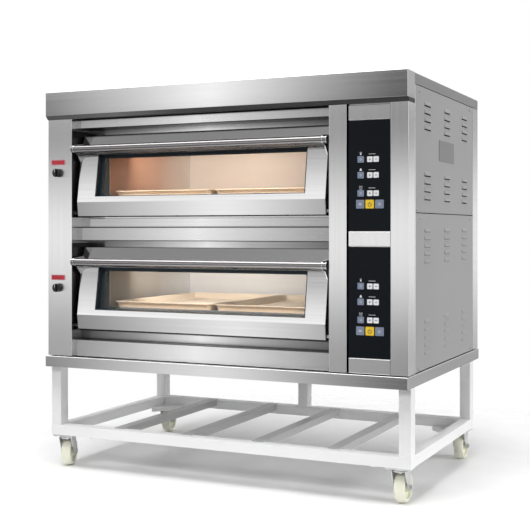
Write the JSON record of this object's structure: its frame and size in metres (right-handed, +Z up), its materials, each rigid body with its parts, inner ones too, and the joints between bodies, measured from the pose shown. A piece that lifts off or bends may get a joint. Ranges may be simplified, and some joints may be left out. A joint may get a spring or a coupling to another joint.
{
  "type": "deck oven",
  "caption": "Two-deck electric bakery oven in stainless steel with drop-down glazed doors, control bay and an open wheeled stand.",
  "frame": {"origin": "on the floor under the middle of the overall box", "axes": "+Z up, -Y towards the front of the oven, +X to the right as seen from the front"},
  "size_m": [1.35, 0.94, 1.348],
  "materials": {
    "stand_steel": "satin stainless tube",
    "zinc": "zinc-plated pressing",
    "stainless": "brushed stainless sheet",
    "side_sheet": "matte grey coated sheet",
    "chrome": "bright chrome",
    "black_plastic": "black moulding",
    "chamber_steel": "heat-tinted steel lining",
    "stone": "cordierite sole plate",
    "element_steel": "oxidised tubular element",
    "lamp_glass": "frosted lamp dome",
    "fibre": "ceramic-fibre blanket",
    "silicone": "silicone seal",
    "black_panel": "glossy dark overlay",
    "keys": "printed flat keys",
    "badge_red": "blank red plate",
    "board": "circuit boards and switchgear",
    "door_steel": "brushed stainless, bright",
    "slate_frame": "dark slate enamel",
    "glass": "clear heat-proof glass",
    "handle_steel": "polished tube",
    "knob_black": "satin black moulding",
    "nylon": "ivory nylon",
    "tray_metal": "seasoned aluminium sheet"
  },
  "bodies": {
    "cabinet": {"stand_legs": "stand_steel", "stand_lower_rails": "stand_steel", "stand_top_frame": "stand_steel", "stand_slats": "stand_steel", "corner_gussets": "stand_steel", "castor_top_plates": "zinc", "hood_fascia": "stainless", "roof_panel": "side_sheet", "plinth_skirt": "stainless", "left_column": "stainless", "control_bay_frame": "stainless", "right_side_panels": "side_sheet", "left_side_panels": "side_sheet", "panel_screws": "chrome", "corner_posts": "stainless", "rear_panel": "side_sheet", "steam_outlets": "stainless", "cable_gland": "black_plastic", "cross_bars": "stainless", "mouth_plates": "stainless", "upper_chamber": "chamber_steel", "lower_chamber": "chamber_steel", "deck_stones": "stone", "heating_elements": "element_steel", "chamber_lamps": "lamp_glass", "insulation": "fibre", "door_gaskets": "silicone", "hinge_pins": "chrome", "hinge_brackets": "stand_steel", "control_panels": "black_panel", "control_keys": "keys", "blank_badges": "badge_red", "selector_switches": "black_plastic", "electrical_parts": "board"},
    "upper_door": {"upper_door_skin": "door_steel", "upper_door_liner": "stainless", "upper_window_frame": "slate_frame", "upper_glass_panes": "glass", "upper_handle_tube": "handle_steel", "upper_handle_brackets": "chrome"},
    "lower_door": {"lower_door_skin": "door_steel", "lower_door_liner": "stainless", "lower_window_frame": "slate_frame", "lower_glass_panes": "glass", "lower_handle_tube": "handle_steel", "lower_handle_brackets": "chrome"},
    "upper_selector": {"upper_knob": "knob_black"},
    "lower_selector": {"lower_knob": "knob_black"},
    "front_left_castor": {"front_left_castor_fork": "zinc"},
    "front_left_wheel": {"front_left_castor_wheel": "nylon"},
    "front_right_castor": {"front_right_castor_fork": "zinc"},
    "front_right_wheel": {"front_right_castor_wheel": "nylon"},
    "rear_left_castor": {"rear_left_castor_fork": "zinc"},
    "rear_left_wheel": {"rear_left_castor_wheel": "nylon"},
    "rear_right_castor": {"rear_right_castor_fork": "zinc"},
    "rear_right_wheel": {"rear_right_castor_wheel": "nylon"},
    "upper_left_tray_body": {"upper_left_tray": "tray_metal"},
    "upper_right_tray_body": {"upper_right_tray": "tray_metal"},
    "lower_left_tray_body": {"lower_left_tray": "tray_metal"},
    "lower_right_tray_body": {"lower_right_tray": "tray_metal"}
  },
  "joints": [
    {"name": "upper_door_hinge", "type": "hinge", "parent": "cabinet", "child": "upper_door", "pos_m": [0, -0.421, 0.917], "axis": [1, 0, 0], "range_deg": [0, 90]},
    {"name": "lower_door_hinge", "type": "hinge", "parent": "cabinet", "child": "lower_door", "pos_m": [0, -0.421, 0.517], "axis": [1, 0, 0], "range_deg": [0, 90]},
    {"name": "upper_selector_turn", "type": "hinge", "parent": "cabinet", "child": "upper_selector", "pos_m": [-0.629, -0.451, 1.06], "axis": [0, 1, 0], "range_deg": [0, 90]},
    {"name": "lower_selector_turn", "type": "hinge", "parent": "cabinet", "child": "lower_selector", "pos_m": [-0.629, -0.451, 0.65], "axis": [0, 1, 0], "range_deg": [0, 90]},
    {"name": "front_left_swivel", "type": "hinge", "parent": "cabinet", "child": "front_left_castor", "pos_m": [-0.63, -0.391, 0.109], "axis": [0, 0, 1], "continuous": true},
    {"name": "front_left_roll", "type": "hinge", "parent": "front_left_castor", "child": "front_left_wheel", "pos_m": [-0.63803, -0.36627, 0.05], "axis": [0.9511, 0.309, 0], "continuous": true},
    {"name": "front_right_swivel", "type": "hinge", "parent": "cabinet", "child": "front_right_castor", "pos_m": [0.63, -0.391, 0.109], "axis": [0, 0, 1], "continuous": true},
    {"name": "front_right_roll", "type": "hinge", "parent": "front_right_castor", "child": "front_right_wheel", "pos_m": [0.63, -0.365, 0.05], "axis": [1, 0, 0], "continuous": true},
    {"name": "rear_left_swivel", "type": "hinge", "parent": "cabinet", "child": "rear_left_castor", "pos_m": [-0.63, 0.317, 0.109], "axis": [0, 0, 1], "continuous": true},
    {"name": "rear_left_roll", "type": "hinge", "parent": "rear_left_castor", "child": "rear_left_wheel", "pos_m": [-0.63451, 0.34261, 0.05], "axis": [0.9848, 0.1736, 0], "continuous": true},
    {"name": "rear_right_swivel", "type": "hinge", "parent": "cabinet", "child": "rear_right_castor", "pos_m": [0.63, 0.317, 0.109], "axis": [0, 0, 1], "continuous": true},
    {"name": "rear_right_roll", "type": "hinge", "parent": "rear_right_castor", "child": "rear_right_wheel", "pos_m": [0.63, 0.343, 0.05], "axis": [1, 0, 0], "continuous": true},
    {"name": "upper_left_tray_slide", "type": "slide", "parent": "cabinet", "child": "upper_left_tray_body", "axis": [0, -1, 0], "range_m": [-0.03, 0.03]},
    {"name": "upper_right_tray_slide", "type": "slide", "parent": "cabinet", "child": "upper_right_tray_body", "axis": [0, -1, 0], "range_m": [-0.03, 0.03]},
    {"name": "lower_left_tray_slide", "type": "slide", "parent": "cabinet", "child": "lower_left_tray_body", "axis": [0, -1, 0], "range_m": [-0.03, 0.03]},
    {"name": "lower_right_tray_slide", "type": "slide", "parent": "cabinet", "child": "lower_right_tray_body", "axis": [0, -1, 0], "range_m": [-0.03, 0.03]}
  ]
}
